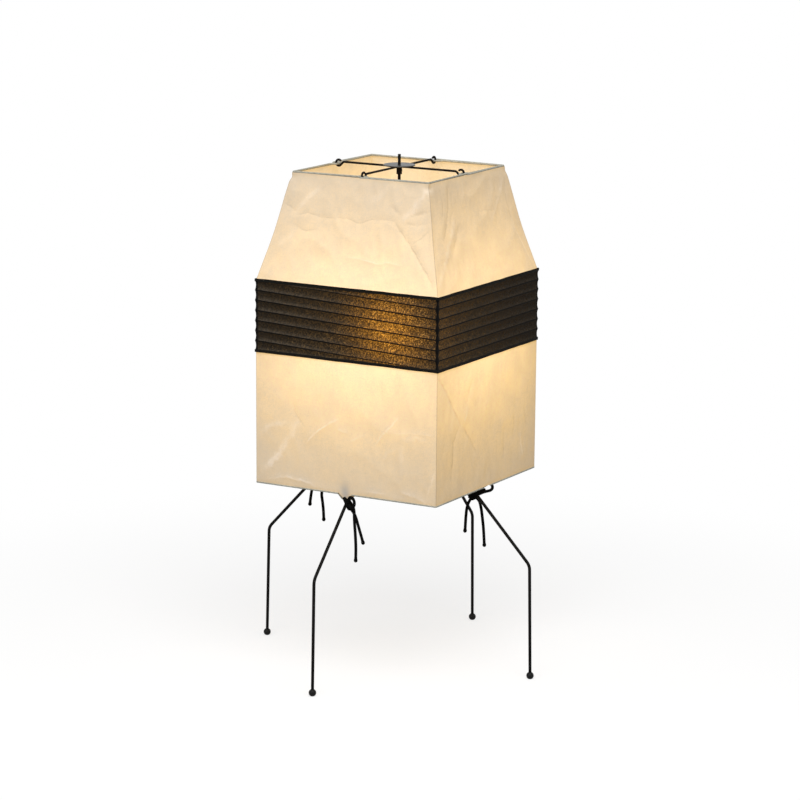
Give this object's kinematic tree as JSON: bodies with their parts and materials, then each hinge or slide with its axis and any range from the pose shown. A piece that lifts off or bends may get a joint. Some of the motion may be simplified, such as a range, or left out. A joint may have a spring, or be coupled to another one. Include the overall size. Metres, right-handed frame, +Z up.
{
  "type": "paper table lamp",
  "caption": "Tall square lamp of white paper with a pleated black band, stretched between a hooked wire spreader and a bent wire stand and lit from inside by a screw-in bulb.",
  "frame": {"origin": "on the floor, under the middle of the shade", "axes": "+Z up along the upright rod's top, -Y out of the front face, +X to the right of it"},
  "size_m": [0.3206, 0.3376, 0.5215],
  "materials": {
    "black_wire": "satin black painted steel wire and sheet",
    "black_foot": "black moulded ball ends",
    "steel": "plated steel",
    "black_plastic": "moulded black lamp holder",
    "brass": "bare brass contacts",
    "porcelain": "white porcelain",
    "opal_glass": "opal white glass, lit",
    "bulb_cap": "pressed metal cap",
    "white_paper": "creased handmade white paper, lit from behind",
    "black_paper": "pleated black paper with fine light pores",
    "wrapped_rim": "steel wire wrapped in off-white paper",
    "band_wire": "thin black wire",
    "tie_cord": "round black cord"
  },
  "bodies": {
    "stand": {"leg_front": "black_wire", "foot_front": "black_foot", "upper_panel_front": "white_paper", "lower_panel_front": "white_paper", "band_panel_front": "black_paper", "tie_wrap_front": "tie_cord", "tie_tail_first_front": "tie_cord", "tie_tail_second_front": "tie_cord", "tie_loop_front": "tie_cord", "leg_right": "black_wire", "foot_right": "black_foot", "upper_panel_right": "white_paper", "lower_panel_right": "white_paper", "band_panel_right": "black_paper", "tie_wrap_right": "tie_cord", "tie_tail_first_right": "tie_cord", "tie_tail_second_right": "tie_cord", "tie_loop_right": "tie_cord", "leg_back": "black_wire", "foot_back": "black_foot", "upper_panel_back": "white_paper", "lower_panel_back": "white_paper", "band_panel_back": "black_paper", "tie_wrap_back": "tie_cord", "tie_tail_first_back": "tie_cord", "tie_tail_second_back": "tie_cord", "tie_loop_back": "tie_cord", "leg_left": "black_wire", "foot_left": "black_foot", "upper_panel_left": "white_paper", "lower_panel_left": "white_paper", "band_panel_left": "black_paper", "tie_wrap_left": "tie_cord", "tie_tail_first_left": "tie_cord", "tie_tail_second_left": "tie_cord", "tie_loop_left": "tie_cord", "hub_plate": "black_wire", "upright_rod": "black_wire", "nipple": "steel", "nipple_nuts": "steel", "socket_body": "black_plastic", "socket_cap": "black_plastic", "socket_screw_shell": "brass", "socket_contact": "brass", "socket_core": "porcelain", "bottom_rim": "wrapped_rim", "band_top_wire": "band_wire", "band_bottom_wire": "band_wire", "band_rib": "band_wire"},
    "spreader": {"spreader_disc": "black_wire", "spreader_sleeve": "black_wire", "spreader_screw": "steel", "top_rim": "wrapped_rim", "hook_arm_front": "black_wire", "hook_arm_right": "black_wire", "hook_arm_back": "black_wire", "hook_arm_left": "black_wire"},
    "bulb": {"bulb_glass": "opal_glass", "bulb_cap": "bulb_cap"}
  },
  "joints": [
    {"name": "spreader_slide", "type": "slide", "parent": "stand", "child": "spreader", "axis": [0, 0, 1], "range_m": [-0.035, 0]},
    {"name": "bulb_out", "type": "slide", "parent": "stand", "child": "bulb", "axis": [0, 0, 1], "range_m": [0, 0.03]}
  ]
}
